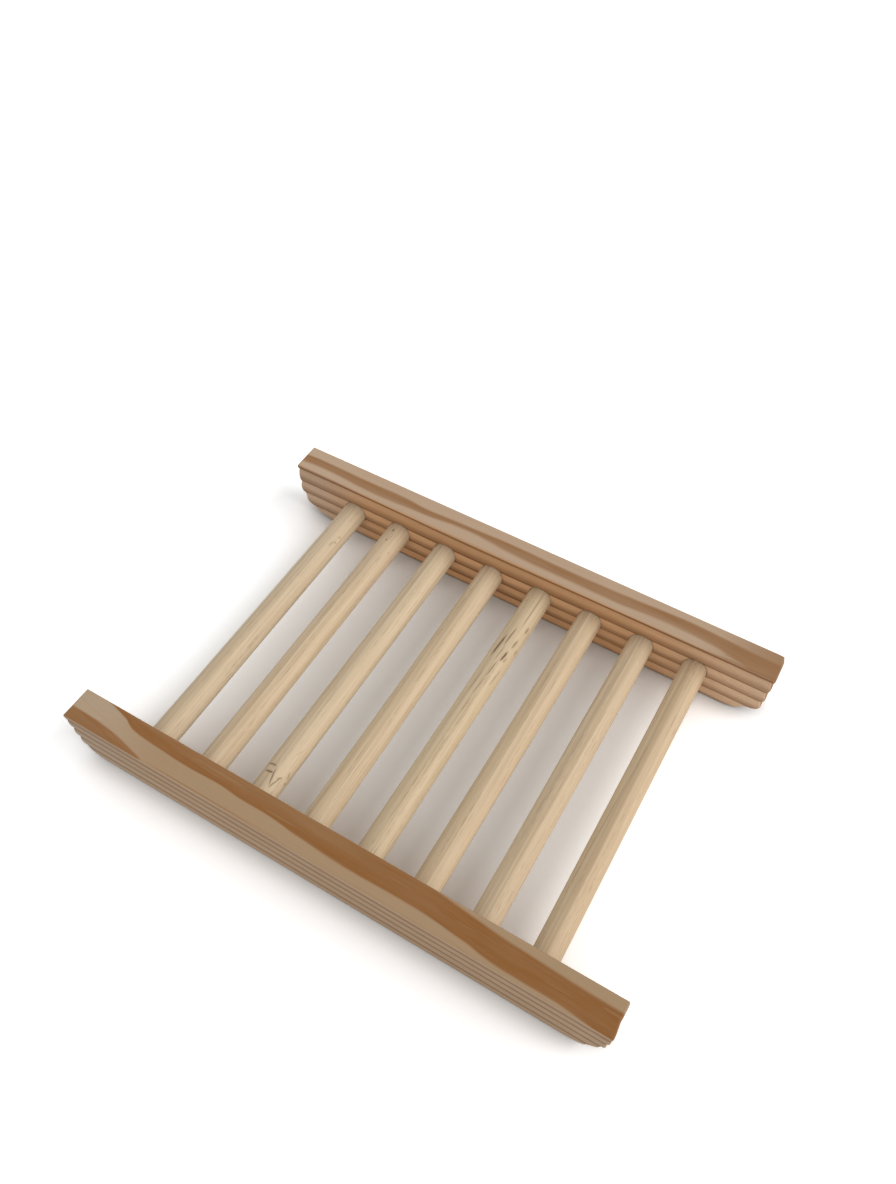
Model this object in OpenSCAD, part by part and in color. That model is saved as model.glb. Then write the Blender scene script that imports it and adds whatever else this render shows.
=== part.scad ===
// Slatted soap dish: two reeded rails joined by a row of round rods.
// Each rod is glued at both ends into blind sockets in the inner faces of the rails.
// X runs along the rails, Y runs from the front rail to the back rail, and Z is up.
// The origin is on the surface that the dish stands on, under its middle.

/* [Rails] */
// Length of each rail
rail_length = 125; // [112:1:180]
// Height of each rail
rail_height = 16; // [14:0.5:24]
// Thickness of each rail over the crests of its reeds
rail_thickness = 7.5; // [6.5:0.1:14]
// Width of the dish over the outer faces of the rails
dish_width = 90; // [60:1:150]
// Radius of the lower corners at the ends of a rail
foot_radius = 9; // [2:0.5:12]
// Radius of the eased edges along a rail and across its ends
arris_radius = 0.4; // [0.2:0.1:1]
// Radius of the four upright corners of a rail
end_radius = 0.5; // [0.2:0.1:0.5]

/* [Reeds] */
// Distance from one groove to the next
reed_pitch = 4; // [3:0.1:6]
// Depth of a groove below the crests of the reeds
reed_depth = 0.4; // [0.2:0.05:1]
// How far the crest of a reed lies below its middle
reed_sag = 0.4; // [0:0.1:0.8]
// Height of the plain lip between the top of a rail and its first groove
lip_height = 1; // [0.8:0.05:2.8]

/* [Rods] */
// Number of rods
rod_count = 8; // [3:1:9]
// Diameter of a rod
rod_diameter = 6; // [4:0.5:8]
// Distance from the end of a rail to the axis of the nearest rod
rod_end_margin = 16.7; // [8:0.1:24]
// Height of the rod axes above the surface that the dish stands on
rod_axis_height = 8; // [6:0.5:10]
// Chamfer around the ends of a rod
rod_chamfer = 0.4; // [0.2:0.1:1]

/* [Sockets] */
// Depth of a socket below the crests of the reeds
socket_depth = 4.5; // [3:0.1:5.5]
// Radial gap for glue between a rod and its socket
socket_clearance = 0.05; // [0.03:0.01:0.1]
// Gap between the end of a rod and the bottom of its socket
socket_end_gap = 0.3; // [0.1:0.1:1]

/* [Hidden] */

// Facets on every round form
$fn = 64;

// How far a cut runs past the face that it opens
overrun = 1;

// Colours of the planed softwood and of the bamboo
rail_colour = [0.72, 0.57, 0.43];
rod_colour = [0.85, 0.75, 0.59];

// A reed is an arc over its pitch that rises from the groove above it to a low crest
crest_drop = reed_pitch / 2 + reed_sag;
reed_radius = (pow(crest_drop, 2) + pow(reed_depth, 2)) / (2 * reed_depth);
reed_centre_y = rail_thickness / 2 - reed_radius;
first_groove_z = rail_height - lip_height;
reed_count = ceil(first_groove_z / reed_pitch);

// The rails stand at the two sides of the dish
rail_y = (dish_width - rail_thickness) / 2;
inner_face_y = dish_width / 2 - rail_thickness;

// The rods are spread evenly between the ends of the rails
rod_pitch = (rail_length - 2 * rod_end_margin) / (rod_count - 1);

// Both ends of a rod stop short of the bottoms of their sockets
rod_length = 2 * (inner_face_y + socket_depth - socket_end_gap);

// Place of a rod along the rails, counted from one
function rod_x(i) = rod_end_margin - rail_length / 2 + (i - 1) * rod_pitch;

// Height of the groove above a reed, counted down from one
function groove_z(k) = first_groove_z + (1 - k) * reed_pitch;

// A flat form and its mirror image on the negative side
module both_sides() {
    children();
    mirror([1, 0])
        children();
}

// What rounding takes off a lower right corner that lies at the origin
module corner_waste(radius) {
    difference() {
        translate([-radius, -overrun])
            square([radius + overrun, radius + overrun]);
        translate([-radius, radius])
            circle(r = radius);
    }
}

// Rectangle on the X axis, with one radius at its lower corners and one at its upper corners
module eased_outline(width, height, lower_radius, upper_radius) {
    difference() {
        translate([-width / 2, 0])
            square([width, height]);
        both_sides() {
            translate([width / 2, 0])
                corner_waste(lower_radius);
            translate([width / 2, height])
                mirror([0, 1])
                    corner_waste(upper_radius);
        }
    }
}

// The plain lip and the arcs of the reeds on the positive side of the rail's section
module reeds() {
    translate([0, first_groove_z])
        square([rail_thickness / 2, lip_height]);
    for (k = [1 : reed_count])
        intersection() {
            translate([reed_centre_y, groove_z(k) - crest_drop])
                circle(r = reed_radius);
            translate([0, groove_z(k) - reed_pitch])
                square([rail_thickness / 2, reed_pitch]);
        }
}

// Section across a rail: a plain core with a lip and reeds on both faces, planed off at the bottom
module rail_section() {
    core_width = rail_thickness - 2 * reed_depth;
    intersection() {
        eased_outline(rail_thickness, rail_height, arris_radius, arris_radius);
        union() {
            translate([-core_width / 2, 0])
                square([core_width, rail_height]);
            both_sides()
                reeds();
        }
    }
}

// Reeded bar, cut to length, with its lower corners rounded and its ends eased
module rail_blank() {
    intersection() {
        rotate([90, 0, 90])
            linear_extrude(height = rail_length, center = true)
                rail_section();
        rotate([90, 0, 0])
            linear_extrude(height = rail_thickness, center = true)
                eased_outline(rail_length, rail_height, foot_radius, arris_radius);
        translate([0, -rail_thickness / 2, 0])
            linear_extrude(height = rail_height)
                eased_outline(rail_length, rail_thickness, end_radius, end_radius);
    }
}

// Blind holes for the rods, opening on the positive side of a rail
module sockets() {
    for (i = [1 : rod_count])
        translate([rod_x(i), rail_thickness / 2 + overrun, rod_axis_height])
            rotate([90, 0, 0])
                cylinder(h = socket_depth + overrun, d = rod_diameter + 2 * socket_clearance);
}

// Rail with its sockets facing the positive side
module rail() {
    color(rail_colour)
        difference() {
            rail_blank();
            sockets();
        }
}

module rail_front() {
    translate([0, -rail_y, 0])
        rail();
}

module rail_back() {
    translate([0, rail_y, 0])
        mirror([0, 1, 0])
            rail();
}

// Round rod across the dish, chamfered where it enters its sockets
module rod(i) {
    rod_radius = rod_diameter / 2;
    half_length = rod_length / 2;
    color(rod_colour)
        translate([rod_x(i), 0, rod_axis_height])
            rotate([90, 0, 0])
                rotate_extrude()
                    polygon([
                        [0, -half_length],
                        [rod_radius - rod_chamfer, -half_length],
                        [rod_radius, -half_length + rod_chamfer],
                        [rod_radius, half_length - rod_chamfer],
                        [rod_radius - rod_chamfer, half_length],
                        [0, half_length]
                    ]);
}

rail_front();
rail_back();
for (i = [1 : rod_count])
    rod(i);
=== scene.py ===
"""Looks of a slatted soap dish: reeded softwood rails and round bamboo rods on a pale stage."""

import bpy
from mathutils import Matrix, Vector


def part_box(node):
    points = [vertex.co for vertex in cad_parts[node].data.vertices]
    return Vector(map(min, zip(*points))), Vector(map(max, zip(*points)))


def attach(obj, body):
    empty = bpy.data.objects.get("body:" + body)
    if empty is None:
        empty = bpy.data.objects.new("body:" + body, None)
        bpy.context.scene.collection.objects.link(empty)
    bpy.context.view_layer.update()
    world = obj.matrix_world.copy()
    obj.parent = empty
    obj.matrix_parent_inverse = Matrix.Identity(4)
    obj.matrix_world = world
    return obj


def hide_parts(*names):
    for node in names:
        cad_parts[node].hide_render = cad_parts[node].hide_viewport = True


bl_info = {
    "name": "Slatted Soap Dish",
    "version": (1, 0, 0),
    "blender": (4, 5, 0),
    "location": "View3D > Sidebar > Soap Dish",
    "description": "Builds the reeded rails and bamboo rods of a slatted soap dish",
    "category": "Object",
}

import math

import bmesh
import bpy
import numpy as np
from bpy.props import FloatProperty, FloatVectorProperty, IntProperty, PointerProperty
from bpy.types import Operator, Panel, PropertyGroup
from mathutils import Matrix, Vector, noise

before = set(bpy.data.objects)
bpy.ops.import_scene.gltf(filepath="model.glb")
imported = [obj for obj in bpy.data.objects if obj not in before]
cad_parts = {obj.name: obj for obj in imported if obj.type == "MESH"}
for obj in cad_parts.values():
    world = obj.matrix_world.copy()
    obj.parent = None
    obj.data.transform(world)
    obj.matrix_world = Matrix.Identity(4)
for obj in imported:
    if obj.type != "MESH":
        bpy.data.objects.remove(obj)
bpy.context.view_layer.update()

MM = 0.001
RAILS = ("rail_front", "rail_back")
RODS = sorted(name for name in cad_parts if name.startswith("rod_"))
BODY = "root"
SHARP_ANGLE = math.radians(35)


def display_colour(red, green, blue):
    """A colour given as it shows on a screen, from 0 to 255, as the scene's linear colour."""
    shares = (channel / 255 for channel in (red, green, blue))
    return tuple(s / 12.92 if s <= 0.04045 else ((s + 0.055) / 1.055) ** 2.4 for s in shares)


def length(name, text, size):
    """A property that holds a length, given in millimetres."""
    return FloatProperty(
        name=name, description=text, default=size * MM, min=0.0, unit="LENGTH", precision=5
    )


def angle(name, text, degrees):
    """A property that holds an angle, given in degrees."""
    return FloatProperty(name=name, description=text, default=math.radians(degrees), subtype="ANGLE")


def level(name, text, size):
    """A property that holds a strength or a share."""
    return FloatProperty(name=name, description=text, default=size, min=0.0)


def colour(name, text, red, green, blue):
    """A property that holds a colour, given as it shows on a screen."""
    return FloatVectorProperty(
        name=name,
        description=text,
        subtype="COLOR",
        size=3,
        min=0.0,
        max=1.0,
        default=display_colour(red, green, blue),
    )


class RailSizes(PropertyGroup):
    """Sizes of the moulding that the rails are cut from"""

    reed_depth: length("Reed depth", "Depth of a groove below the crests of the reeds", 0.4)
    nose_radius: length("Nose radius", "Radius of the lower edge of a reed", 0.12)
    end_radius: length("End radius", "Radius of the upright corners", 0.25)
    foot_radius: length("Foot radius", "Radius of the lower corners at the ends", 9.0)
    arris_radius: length("Arris radius", "Radius of the sanded edges", 0.4)
    socket_depth: length("Socket depth", "Depth of a socket below the crests of the reeds", 4.5)
    socket_clearance: length("Socket clearance", "Radial gap between a rod and its socket", 0.05)
    wear_depth: length("Wear depth", "How far handling has worn the faces unevenly", 0.03)


class RodSizes(PropertyGroup):
    """Sizes of the surface of the rods"""

    chamfer: length("Chamfer", "Chamfer around the ends of a rod", 0.4)
    fibre_depth: length("Fibre depth", "Depth of the furrows between fibre bundles", 0.03)
    flat_depth: length("Flat depth", "Depth of the flats that planing left along a rod", 0.11)
    flat_count: IntProperty(name="Flats", description="Number of flats around a rod", default=10, min=3)
    facets: IntProperty(name="Facets", description="Facets around a rod", default=80, min=16)


class WoodColours(PropertyGroup):
    """Colours of the softwood of the rails"""

    front_pale: colour("Front pale", "Early wood on top of the front rail", 166, 139, 108)
    front_brown: colour("Front brown", "Late wood on top of the front rail", 136, 88, 38)
    # Painted light: a side colour is the wood lightened and warmed, to make up for the shade on the reeded
    # faces towards -Y
    front_side: colour("Front side", "Reeded faces of the front rail", 188, 159, 129)
    front_grey: colour("Front grey", "Weathered left end of the front rail", 178, 158, 134)
    back_pale: colour("Back pale", "Early wood on top of the back rail", 184, 158, 132)
    back_brown: colour("Back brown", "Late wood on top of the back rail", 144, 103, 64)
    # Painted light, as for the front side
    back_side: colour("Back side", "Reeded faces of the back rail", 243, 189, 138)
    back_grey: colour("Back grey", "Weathered left end of the back rail", 214, 190, 166)
    end_pale: colour("End pale", "Reeded faces at the right ends of the rails", 240, 211, 180)
    # Painted shade: a groove colour darkens the lower part of each reed and paints the dark lines in the
    # grooves, under the lip and along the foot
    front_groove: colour("Front groove", "Wood in the grooves of the front rail", 112, 74, 48)
    back_groove: colour("Back groove", "Wood in the grooves of the back rail", 120, 68, 18)


class BambooColours(PropertyGroup):
    """Colours of the bamboo of the rods"""

    cream: colour("Cream", "Ground between the fibres", 210, 189, 159)
    straw: colour("Straw", "Fibre bundles", 190, 165, 131)
    stain: colour("Stain", "Marks at nodes and in cracks", 104, 72, 46)


class StageSettings(PropertyGroup):
    """Floor and light"""

    floor_tone: colour("Floor tone", "Floor as the light sees it", 232, 232, 232)
    floor_lift: level("Floor lift", "Brightness of the floor for the camera, which keeps it white", 1.3)
    # Painted shadow on the floor, seen by the camera only: its tone close to the wood, its warm tone inside
    # the front rail, its reach, and how much darker it is between the rails
    contact_tone: colour("Contact tone", "Floor close to the wood, for the camera", 219, 221, 221)
    warm_tone: colour("Warm tone", "Floor inside the front rail, for the camera", 198, 181, 165)
    contact_reach: length("Contact reach", "How far from the wood the floor is darker", 6.0)
    under_share: level("Under share", "How much darker the floor is between the rails", 0.44)
    sky_strength: level("Sky", "Even light from all round", 0.67)
    key_strength: level("Key", "Soft light from one side", 1.78)
    key_heading: angle("Key heading", "Where the soft light comes from, turned from +X towards +Y", 12)
    key_height: angle("Key height", "Height of the soft light above the floor", 36)
    key_spread: angle("Key spread", "How wide the soft light is", 50)


# The camera solved from the photograph: its picture in pixels, then its place and its turns
PHOTO_WIDTH = 896
PHOTO_HEIGHT = 1184
PHOTO_FOCAL = 891.6
PHOTO_CENTRE = (462.1, 658.4)
CAMERA_PLACE = (51.55 * MM, -81.64 * MM, 178.57 * MM)
CAMERA_TURN = math.radians(28.84)
CAMERA_DIP = math.radians(57.56)
CAMERA_ROLL = math.radians(1.38)
SENSOR = 36.0


def operator_pair(operation):
    """An operator between a value and another value or a number, and its reflected form."""

    def plain(self, other):
        return self.maths(operation, self, other)

    def reflected(self, other):
        return self.maths(operation, other, self)

    return plain, reflected


class Value:
    """One output of a shader node, which takes part in Python expressions"""

    def __init__(self, finish, socket):
        self.finish = finish
        self.socket = socket

    def maths(self, operation, *terms):
        return self.finish.node("ShaderNodeMath", {"operation": operation}, dict(enumerate(terms)))

    __add__, __radd__ = operator_pair("ADD")
    __sub__, __rsub__ = operator_pair("SUBTRACT")
    __mul__, __rmul__ = operator_pair("MULTIPLY")
    __truediv__, __rtruediv__ = operator_pair("DIVIDE")

    def __abs__(self):
        return self.maths("ABSOLUTE", self)

    def at_least(self, other):
        return self.maths("MAXIMUM", self, other)

    def turn_from(self, upright):
        """Angle round from the upright, in radians."""
        return self.maths("ARCTAN2", self, upright)

    def step(self, low, high, before, after):
        """One level up to low and another from high on, with a smooth step between them."""
        settings = {"interpolation_type": "SMOOTHSTEP"}
        inputs = {0: self, 1: low, 2: high, 3: before, 4: after}
        return self.finish.node("ShaderNodeMapRange", settings, inputs)

    def rise(self, low, high, full=1.0):
        """0 below low and full above high."""
        return self.step(low, high, 0.0, full)

    def fall(self, low, high, full=1.0):
        """The full level below low and 0 above high."""
        return self.step(low, high, full, 0.0)

    def within(self, half_width, softness):
        """1 where the value is nearer to zero than half_width, with soft edges."""
        return abs(self).fall(half_width - softness, half_width + softness)


class Finish:
    """A material, world or floor finish that is built node by node"""

    # Sockets of a Mix node for its two colours and for their blend
    MIX_COLOURS, MIX_RESULT = (6, 7), 2
    # Levels between which noise moves a grey, and between which the edge of a spot fades
    GREY_NOISE, DASH_EDGE = (0.3, 0.7), (0.3, 1.0)

    def __init__(self, tree):
        self.tree = tree
        tree.nodes.clear()

    def node(self, kind, settings, inputs, output=0):
        """Adds a node, sets it up, joins or fills its sockets, and returns one output."""
        made = self.tree.nodes.new(kind)
        for key, value in settings.items():
            setattr(made, key, value)
        for key, value in inputs.items():
            socket = made.inputs[key]
            if isinstance(value, Value):
                self.tree.links.new(value.socket, socket)
            else:
                socket.default_value = value
        return Value(self, made.outputs[output]) if made.outputs else made

    def curve(self, value, points, handles="AUTO"):
        """A curve through points, which may lie outside 0 to 1."""
        drawn = self.node("ShaderNodeFloatCurve", {}, {"Value": value})
        mapping = drawn.socket.node.mapping
        mapping.use_clip = False
        line = mapping.curves[0].points
        while len(line) < len(points):
            line.new(0.5, 0.5)
        for point, place in zip(line, points):
            point.location = place
            point.handle_type = handles
        mapping.update()
        return drawn

    def mix(self, share, first, second, blend="MIX"):
        """Blends two colours."""
        first_socket, second_socket = self.MIX_COLOURS
        settings = {"data_type": "RGBA", "blend_type": blend}
        inputs = {0: share, first_socket: opaque(first), second_socket: opaque(second)}
        return self.node("ShaderNodeMix", settings, inputs, self.MIX_RESULT)

    def times(self, first, second):
        """Multiplies two colours, channel by channel."""
        return self.mix(1.0, first, second, "MULTIPLY")

    def vector(self, x, y, z):
        return self.node("ShaderNodeCombineXYZ", {}, {0: x, 1: y, 2: z})

    def grey(self, level):
        return self.vector(level, level, level)

    def noise_grey(self, value, low, high):
        """A grey that goes from one level to another as a noise value rises."""
        start, end = self.GREY_NOISE
        return self.grey(self.node("ShaderNodeMapRange", {}, {0: value, 1: start, 2: end, 3: low, 4: high}))

    def grain(self, place, blobs, detail=2.0, roughness=0.5, seed=0.0):
        """Noise from about 0 to 1, with so many blobs for each unit of the three coordinates."""
        x, y, z = (axis * count for axis, count in zip(place, blobs))
        point = self.vector(x + seed, y, z)
        inputs = {"Vector": point, "Scale": 1.0, "Detail": detail, "Roughness": roughness}
        return self.node("ShaderNodeTexNoise", {}, inputs)

    def place(self):
        """The three coordinates of a point of the object, in millimetres."""
        point = self.node("ShaderNodeTexCoord", {}, {}, "Object")
        return [self.node("ShaderNodeSeparateXYZ", {}, {0: point}, axis) / MM for axis in range(3)]

    def facing(self, axis):
        """How squarely the surface faces along an axis, from -1 to 1."""
        normal = self.node("ShaderNodeNewGeometry", {}, {}, "Normal")
        return self.node("ShaderNodeSeparateXYZ", {}, {0: normal}, axis)

    def dash(self, along, across, place, half_length, half_width, lean=0.0):
        """A long spot: 1 in its middle and 0 outside its half length and half width."""
        ahead = along - place[0]
        aside = across - place[1] - ahead * lean
        lengthwise, sideways = ahead / half_length, aside / half_width
        return (lengthwise * lengthwise + sideways * sideways).fall(*self.DASH_EDGE)

    def surface(self, colour, roughness, specular, height, relief):
        """A wood surface whose height, from 0 to 1, stands for its relief, as the material's output."""
        normal = self.node("ShaderNodeBump", {}, {"Height": height, "Distance": relief, "Strength": 1.0})
        inputs = {
            "Base Color": colour,
            "Roughness": roughness,
            "Specular IOR Level": specular,
            "Normal": normal,
        }
        shader = self.node("ShaderNodeBsdfPrincipled", {}, inputs)
        self.node("ShaderNodeOutputMaterial", {}, {"Surface": shader})

    def diffuse(self, colour):
        return self.node("ShaderNodeBsdfDiffuse", {}, {"Color": opaque(colour)})

    def blend(self, share, first, second):
        """Blends two shaders."""
        return self.node("ShaderNodeMixShader", {}, {0: share, 1: first, 2: second})

    def camera_sees(self, unseen, seen):
        """One shader for the camera and another for all light."""
        return self.blend(self.node("ShaderNodeLightPath", {}, {}, "Is Camera Ray"), unseen, seen)


def opaque(value):
    """A colour with the fourth number that a socket needs."""
    return value if isinstance(value, Value) else (*value, 1.0)


def new_material(name):
    material = bpy.data.materials.new(name)
    material.use_nodes = True
    return material, Finish(material.node_tree)


def noise_share(spot):
    """Smooth noise from 0 to 1."""
    return 0.5 + 0.5 * noise.noise(spot)


def rounded_off(distance, radius):
    """How far a rounded edge lies inside the square one, at a distance from that edge."""
    inside = np.clip(radius - distance, 0.0, radius)
    return radius - np.sqrt(radius**2 - inside**2)


def quad_patch(points, flipped):
    """Corner positions and faces of a grid of points with the shape rows, columns, 3."""
    rows, columns = points.shape[:2]
    index = np.arange(rows * columns).reshape(rows, columns)
    faces = np.stack([index[:-1, :-1], index[1:, :-1], index[1:, 1:], index[:-1, 1:]], -1).reshape(-1, 4)
    return points.reshape(-1, 3), faces[:, ::-1] if flipped else faces


def welded_mesh(name, patches):
    """One closed mesh from patches whose borders lie on each other."""
    corners, faces, count = [], [], 0
    for patch_corners, patch_faces in patches:
        corners.append(patch_corners)
        faces.append(patch_faces + count)
        count += len(patch_corners)
    mesh = bpy.data.meshes.new(name)
    mesh.from_pydata(np.concatenate(corners).tolist(), [], np.concatenate(faces).tolist())
    work = bmesh.new()
    work.from_mesh(mesh)
    weld_distance = 0.0002 * MM
    bmesh.ops.remove_doubles(work, verts=work.verts, dist=weld_distance)
    bmesh.ops.recalc_face_normals(work, faces=work.faces)
    work.to_mesh(mesh)
    work.free()
    return mesh


def new_object(name, data):
    """An object that is in the scene."""
    made = bpy.data.objects.new(name, data)
    bpy.context.scene.collection.objects.link(made)
    return made


def add_piece(name, mesh, material, node):
    """Puts a finished mesh in the scene in place of a node of the frame."""
    mesh.materials.clear()
    mesh.materials.append(material)
    piece = new_object(name, mesh)
    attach(piece, BODY)
    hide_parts(node)
    return piece


def soften(mesh):
    """Smooth shading, with edges kept where two faces meet at more than the sharp angle."""
    mesh.polygons.foreach_set("use_smooth", [True] * len(mesh.polygons))
    mesh.set_sharp_from_angle(angle=SHARP_ANGLE)


class RailForm:
    """The surface of a reeded rail, worked out from its box and its moulding"""

    REED_SHARES = (0.0, 0.04, 0.15, 0.3, 0.45, 0.6, 0.75, 0.88, 0.95, 0.98, 1.0)
    EDGE_SHARES = (0.0, 0.12, 0.3, 0.6, 1.0)
    CROSS_SHARES = (-1.0, -0.92, -0.7, -0.35, 0.0, 0.35, 0.7, 0.92, 1.0)
    LIP_SHARES = (0.12, 0.3)
    CREST_SHARE = 0.6
    FOOT_STEPS = 45
    STATION_STEP = 1.25 * MM
    END_REACH = 5.0 * MM
    # How much of an end's own outline shows at the middle plane, and how fast it fades to the back
    SHIFT_AT_MIDDLE, SHIFT_SLOPE = 0.5, 0.9
    # Half the gap between the two rows of corners in a groove
    HAIR = 0.0005 * MM

    def __init__(self, node, sizes, look):
        self.low, self.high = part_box(node)
        self.sizes = sizes
        self.look = look
        self.length = self.high.x - self.low.x
        self.thickness = self.high.y - self.low.y
        self.height = self.high.z - self.low.z
        self.middle_y = (self.high.y + self.low.y) / 2
        self.grooves = [height * MM for height in look["grooves"]]

    def reeds(self):
        """The groove above and the groove below each reed, from the top down."""
        below_foot = 2 * self.grooves[-1] - self.grooves[-2]
        return list(zip(self.grooves, self.grooves[1:] + [below_foot]))

    def stations(self):
        """Distances along the rail from its left end, close together at the rounded corners."""
        foot = self.sizes.foot_radius
        angles = np.linspace(0.0, math.pi / 2, self.FOOT_STEPS + 1)
        curved = foot * (1 - np.cos(angles))
        straight = self.length - 2 * foot
        steps = max(2, round(straight / self.STATION_STEP))
        plain = foot + straight * np.arange(1, steps) / steps
        return np.concatenate([curved, plain, self.length - curved[::-1]])

    def outline_distance(self, from_end, z):
        """Distance of a point of the side face from the rounded outline below it or beside it."""
        foot = self.sizes.foot_radius
        in_corner = (from_end < foot) & (z < foot)
        rounded = foot - np.hypot(foot - from_end, foot - z)
        return np.where(in_corner, rounded, np.minimum(from_end, z))

    def moulding_drop(self, z):
        """Depth of the moulding below the crests: a plain lip, and below it reeds that sag a little."""
        depth, nose = self.sizes.reed_depth, self.sizes.nose_radius
        drop = rounded_off(np.abs(z - self.grooves[0]), nose)
        for upper, lower in self.reeds():
            rise = self.CREST_SHARE * (upper - lower)
            radius = (rise**2 + depth**2) / (2 * depth)
            offset = np.clip(upper - z, 0.0, upper - lower) - rise
            arc = radius - np.sqrt(radius**2 - offset**2)
            reed = arc + rounded_off(np.abs(z - lower), nose)
            drop = np.where((z <= upper) & (z > lower), np.minimum(reed, depth), drop)
        return drop

    def rows(self, from_end):
        """Heights of the rows of corners at one station, from the underside to the top."""
        foot, arris = self.sizes.foot_radius, self.sizes.arris_radius
        inside = max(0.0, foot - from_end)
        bottom = foot - math.sqrt(foot**2 - inside**2)
        top = self.height - float(rounded_off(from_end, arris))
        reeds = [
            upper - (upper - lower) * share - self.HAIR * (1 - 2 * share)
            for upper, lower in self.reeds()
            for share in self.REED_SHARES
        ]
        first_groove = self.grooves[0]
        lip = self.height - first_groove
        lips = [first_groove + self.HAIR, *(first_groove + share * lip for share in self.LIP_SHARES)]
        fixed = np.clip(sorted(reeds) + lips, bottom + arris, top - arris)
        edge = arris * np.array(self.EDGE_SHARES)
        return np.concatenate([bottom + edge, fixed, top - edge[::-1]])

    def half_width(self, from_end, z):
        """Half the thickness of the rail at places on its side."""
        arris, end = self.sizes.arris_radius, self.sizes.end_radius
        outline = np.minimum(self.outline_distance(from_end, z), self.height - z)
        drop = np.maximum(self.moulding_drop(z), rounded_off(from_end, end))
        return self.thickness / 2 - drop - rounded_off(np.maximum(outline, 0.0), arris)

    def grid(self):
        """Corners of the whole rail as an array of stations, rows, columns across, 3."""
        stations = self.stations()
        from_end = np.minimum(stations, self.length - stations)
        rows = np.stack([self.rows(distance) for distance in from_end])
        half = self.half_width(from_end[:, None], rows)
        across = np.array(self.CROSS_SHARES)
        points = np.empty(rows.shape + (len(across), 3))
        shift = self.end_shift(stations, from_end, rows, across)
        points[..., 0] = self.low.x + stations[:, None, None] + shift
        points[..., 1] = self.middle_y + half[..., None] * across
        points[..., 2] = self.low.z + rows[..., None]
        return points

    def end_shift(self, stations, from_end, rows, across):
        """How far hand sanding moved the even outline of each end, strongest on the face in view."""
        foot = self.sizes.foot_radius
        inside = np.clip(foot - rows, 0.0, foot)
        even = foot - np.sqrt(foot**2 - inside**2)
        beside = np.maximum(self.outline_distance(from_end[:, None], rows), 0.0)
        fade = np.clip(1 - beside / self.END_REACH, 0.0, 1.0) ** 2
        left, right = (
            np.interp(rows / MM, *zip(*self.look[outline])) * MM - even
            for outline in ("left_outline", "right_outline")
        )
        at_right = stations[:, None] > self.length / 2
        shift = np.where(at_right, -right, left) * fade
        return shift[..., None] * np.clip(self.SHIFT_AT_MIDDLE - self.SHIFT_SLOPE * across, 0.0, 1.0)

    def mesh(self, name):
        points = self.grid()
        faces = (
            (points[:, :, 0], False),
            (points[:, :, -1], True),
            (points[:, 0], True),
            (points[:, -1], False),
            (points[0], False),
            (points[-1], True),
        )
        return welded_mesh(name, [quad_patch(*face) for face in faces])


# Blobs of the wear per millimetre, and how far off its middle plane a rail is worn, in thicknesses
WEAR_BLOBS = (0.12, 0.5, 0.5)
WEAR_START_SHARE = 0.25


def wear_rail(mesh, form, chip):
    """Wears the faces of a rail unevenly, and a chip of its end more, always inwards."""
    blobs = Vector(WEAR_BLOBS) / MM
    chip_place, chip_radius, chip_depth = chip
    centre_y, centre_z = form.middle_y, form.low.z + form.height / 2
    for corner in mesh.vertices:
        place = corner.co.copy()
        share = noise_share(place * blobs)
        middle = Vector((0.0, centre_y - place.y, 0.0))
        if middle.length > WEAR_START_SHARE * form.thickness:
            corner.co += middle.normalized() * form.sizes.wear_depth * share
        reach = (place - chip_place).length / chip_radius
        if reach < 1:
            inward = Vector((-chip_place.x, centre_y - place.y, centre_z - place.z)).normalized()
            corner.co += inward * chip_depth * (1 - reach**2) ** 2


SOCKET_FACETS = 48
SOCKET_OVERRUN_SHARE = 0.25


def socket_cutter(form, side):
    """Cylinders where the rods enter a rail, on the side of it that faces the rods."""
    sizes = form.sizes
    inner = form.middle_y + side * form.thickness / 2
    overrun = SOCKET_OVERRUN_SHARE * sizes.socket_depth
    depth = sizes.socket_depth + overrun
    middle = inner + side * (overrun - depth / 2)
    turn = Matrix.Rotation(math.pi / 2, 4, "X")
    work = bmesh.new()
    for name in RODS:
        low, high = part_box(name)
        radius = (high.x - low.x) / 2 + sizes.socket_clearance
        bmesh.ops.create_cone(
            work,
            cap_ends=True,
            segments=SOCKET_FACETS,
            radius1=radius,
            radius2=radius,
            depth=depth,
            matrix=Matrix.Translation(((low.x + high.x) / 2, middle, (low.z + high.z) / 2)) @ turn,
        )
    mesh = bpy.data.meshes.new("socket_cutter")
    work.to_mesh(mesh)
    work.free()
    return new_object("socket_cutter", mesh)


def cut_sockets(mesh, form, side):
    """The rail's mesh with its blind sockets cut."""
    cutter = socket_cutter(form, side)
    blank = new_object("rail_blank", mesh)
    cut = blank.modifiers.new("sockets", "BOOLEAN")
    cut.operation = "DIFFERENCE"
    cut.solver = "EXACT"
    cut.object = cutter
    ready = blank.evaluated_get(bpy.context.evaluated_depsgraph_get())
    result = bpy.data.meshes.new_from_object(ready)
    for thing in (cutter, blank):
        bpy.data.objects.remove(thing)
    return result


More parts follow.
